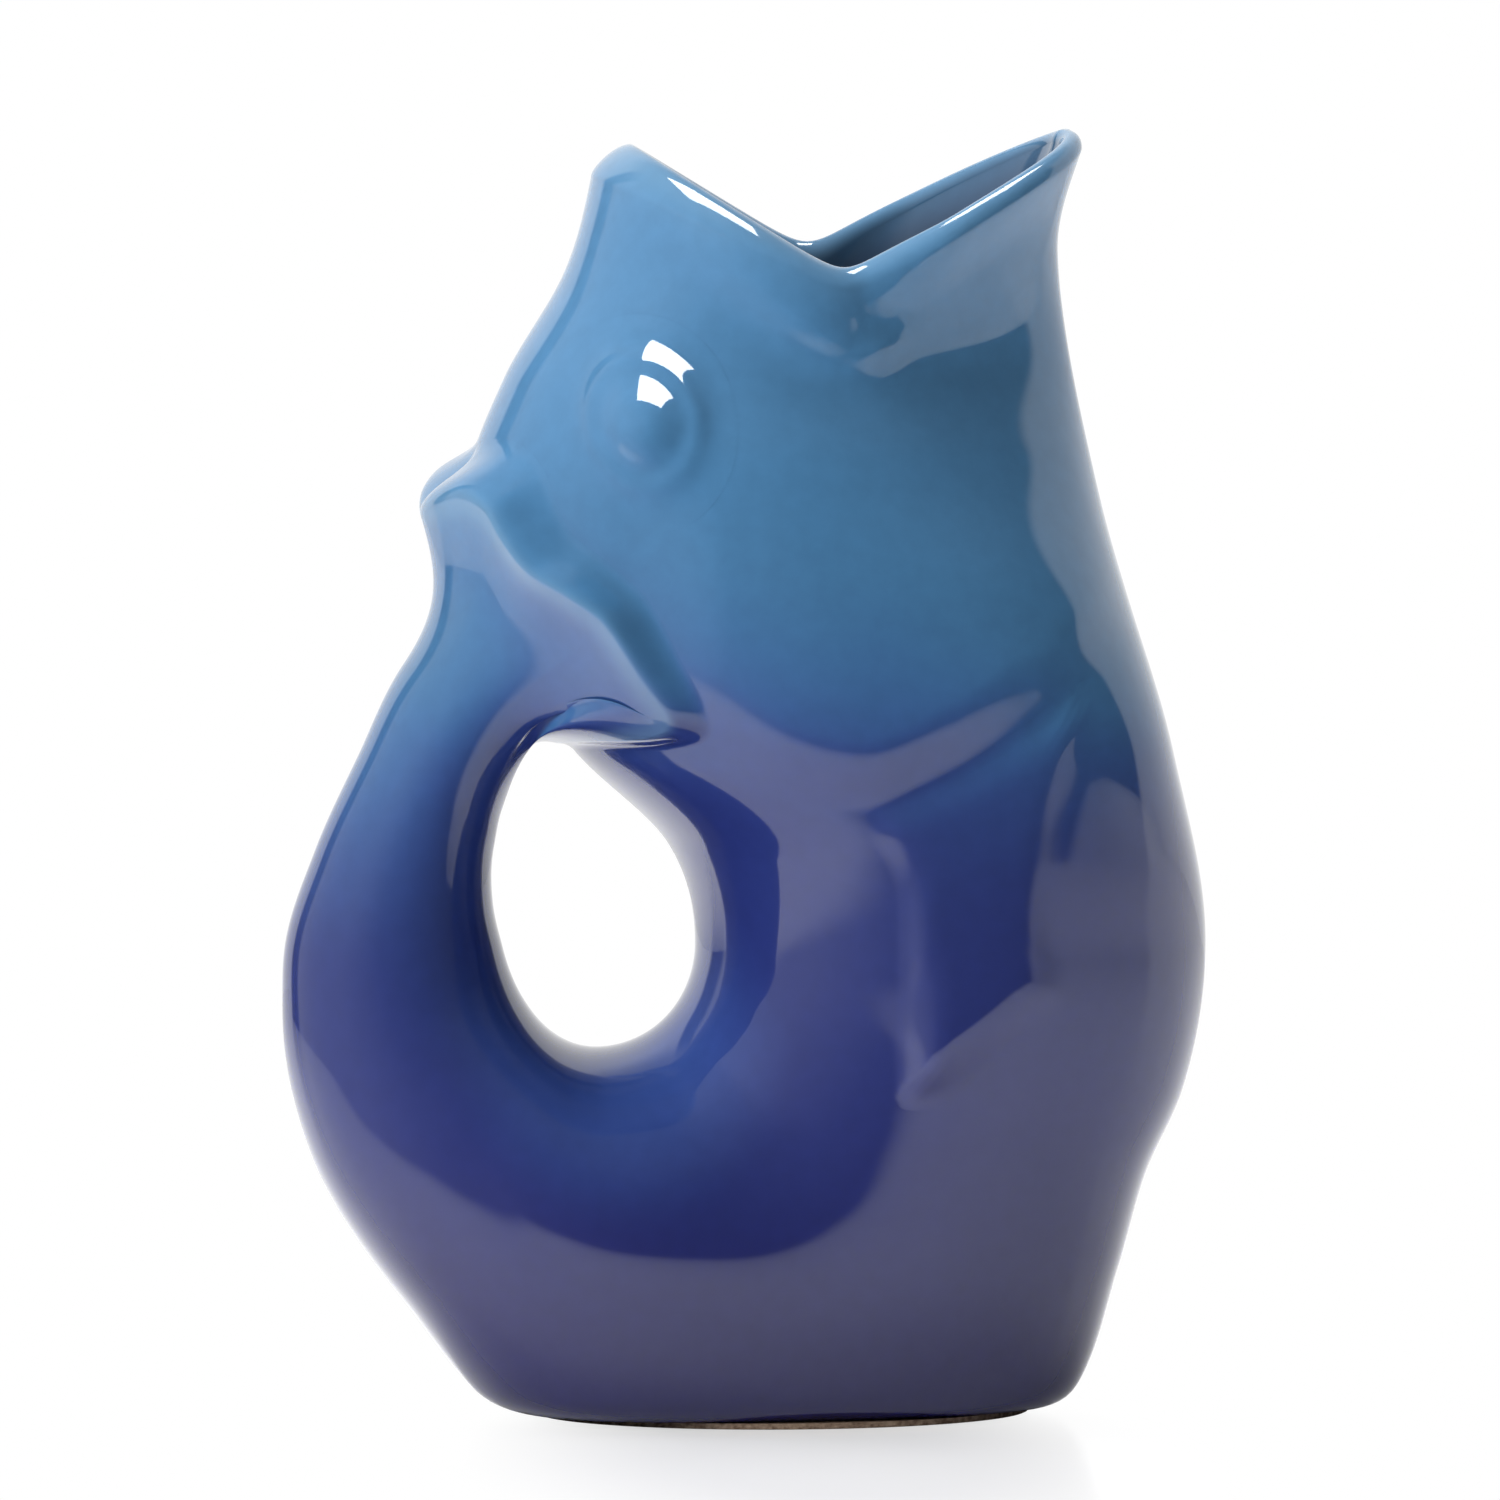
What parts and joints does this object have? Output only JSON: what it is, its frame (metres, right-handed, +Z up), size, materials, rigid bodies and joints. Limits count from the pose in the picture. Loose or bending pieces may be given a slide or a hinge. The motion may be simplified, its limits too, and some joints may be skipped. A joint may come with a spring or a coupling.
{
  "type": "gurgle jug",
  "caption": "Glazed stoneware jug shaped as an upright fish with an open V-shaped mouth, a pointed spout and a hollow tail that loops back to the head as the handle and gurgles on pouring.",
  "frame": {"origin": "centre of the foot ring on the table", "axes": "+Z up, +X from the tail towards the spout, +Y to the jug's left"},
  "size_m": [0.183, 0.118, 0.2539],
  "materials": {
    "glaze_light": "gloss",
    "glaze_mid": "gloss",
    "glaze_deep": "gloss",
    "bare_clay": "matte"
  },
  "bodies": {
    "root": {"body_shell": "glaze_mid", "tail_handle": "glaze_deep", "tail_fin": "glaze_mid", "left_eye": "glaze_light", "right_eye": "glaze_light", "left_pectoral_fin": "glaze_deep", "right_pectoral_fin": "glaze_deep", "foot_ring": "bare_clay"}
  },
  "joints": []
}
